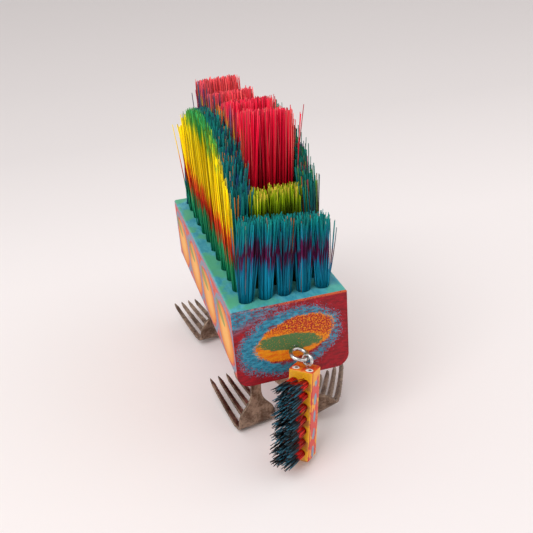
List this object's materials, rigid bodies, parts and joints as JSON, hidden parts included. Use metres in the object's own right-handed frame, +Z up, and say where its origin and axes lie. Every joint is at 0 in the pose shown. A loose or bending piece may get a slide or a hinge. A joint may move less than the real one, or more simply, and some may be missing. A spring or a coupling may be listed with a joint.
{
  "type": "alebrije figure",
  "caption": "Folk-art animal made of a painted broom head with its bristles up, bent fork legs and a small hanging brush as its head.",
  "frame": {"origin": "bottom centre of the whole figure's box, on the surface that it stands on", "axes": "+Z up, -Y towards the hanging head, which is the front; +X is the right-hand side as seen from the front; the body's length runs along Y"},
  "size_m": [0.0922, 0.2138, 0.192],
  "materials": {
    "painted_body_wood": "hand painted, satin: turquoise top, red, orange and green ovals on the sides",
    "painted_head_wood": "hand painted, satin: ochre, orange and red, with two painted dot eyes",
    "fork_metal": "old table fork, dull brown-grey patina",
    "plated_wire": "bright plated wire",
    "staple_wire": "plain flat wire",
    "blue_bristle": "dyed fibre, turquoise with a dark purple band",
    "lime_bristle": "dyed fibre, lime green",
    "red_bristle": "dyed fibre, crimson",
    "flank_bristle": "dyed fibre, green, red and yellow bands",
    "head_bristle": "dyed fibre, blue-black with a red root"
  },
  "bodies": {
    "root": {"body_block": "painted_body_wood", "body_screw_eye": "plated_wire", "body_tuft_staples": "staple_wire", "front_left_fork": "fork_metal", "front_right_fork": "fork_metal", "rear_left_fork": "fork_metal", "rear_right_fork": "fork_metal", "tuft_row_01_crest": "blue_bristle", "tuft_row_01_left": "blue_bristle", "tuft_row_01_right": "blue_bristle", "tuft_row_02_crest": "lime_bristle", "tuft_row_02_left": "flank_bristle", "tuft_row_02_right": "flank_bristle", "tuft_row_03_crest": "red_bristle", "tuft_row_03_left": "flank_bristle", "tuft_row_03_right": "flank_bristle", "tuft_row_04_crest": "red_bristle", "tuft_row_04_left": "flank_bristle", "tuft_row_04_right": "flank_bristle", "tuft_row_05_crest": "red_bristle", "tuft_row_05_left": "flank_bristle", "tuft_row_05_right": "flank_bristle", "tuft_row_06_crest": "red_bristle", "tuft_row_06_left": "flank_bristle", "tuft_row_06_right": "flank_bristle", "tuft_row_07_crest": "red_bristle", "tuft_row_07_left": "flank_bristle", "tuft_row_07_right": "flank_bristle", "tuft_row_08_crest": "red_bristle", "tuft_row_08_left": "flank_bristle", "tuft_row_08_right": "flank_bristle", "tuft_row_09_crest": "red_bristle", "tuft_row_09_left": "flank_bristle", "tuft_row_09_right": "flank_bristle", "tuft_row_10_crest": "red_bristle", "tuft_row_10_left": "flank_bristle", "tuft_row_10_right": "flank_bristle", "tuft_row_11_crest": "lime_bristle", "tuft_row_11_left": "flank_bristle", "tuft_row_11_right": "flank_bristle", "tuft_row_12_crest": "blue_bristle", "tuft_row_12_left": "blue_bristle", "tuft_row_12_right": "blue_bristle"},
    "head_link": {"head_screw_eye": "plated_wire"},
    "head": {"head_block": "painted_head_wood", "head_tuft_1_left": "head_bristle", "head_tuft_1_right": "head_bristle", "head_tuft_2_left": "head_bristle", "head_tuft_2_right": "head_bristle", "head_tuft_3_left": "head_bristle", "head_tuft_3_right": "head_bristle", "head_tuft_4_left": "head_bristle", "head_tuft_4_right": "head_bristle", "head_tuft_5_left": "head_bristle", "head_tuft_5_right": "head_bristle", "head_tuft_6_left": "head_bristle", "head_tuft_6_right": "head_bristle", "head_tuft_7_left": "head_bristle", "head_tuft_7_right": "head_bristle", "head_tuft_staples": "staple_wire"}
  },
  "joints": [
    {"name": "head_swing", "type": "hinge", "parent": "root", "child": "head_link", "pos_m": [0.00386, -0.08116, 0.06312], "axis": [-0.6432, -0.7616, 0.0792], "range_deg": [-5, 95]},
    {"name": "head_turn", "type": "hinge", "parent": "head_link", "child": "head", "pos_m": [0.00374, -0.08128, 0.06229], "axis": [0.1464, 0.1365, 0.9798], "range_deg": [-45, 80]}
  ]
}
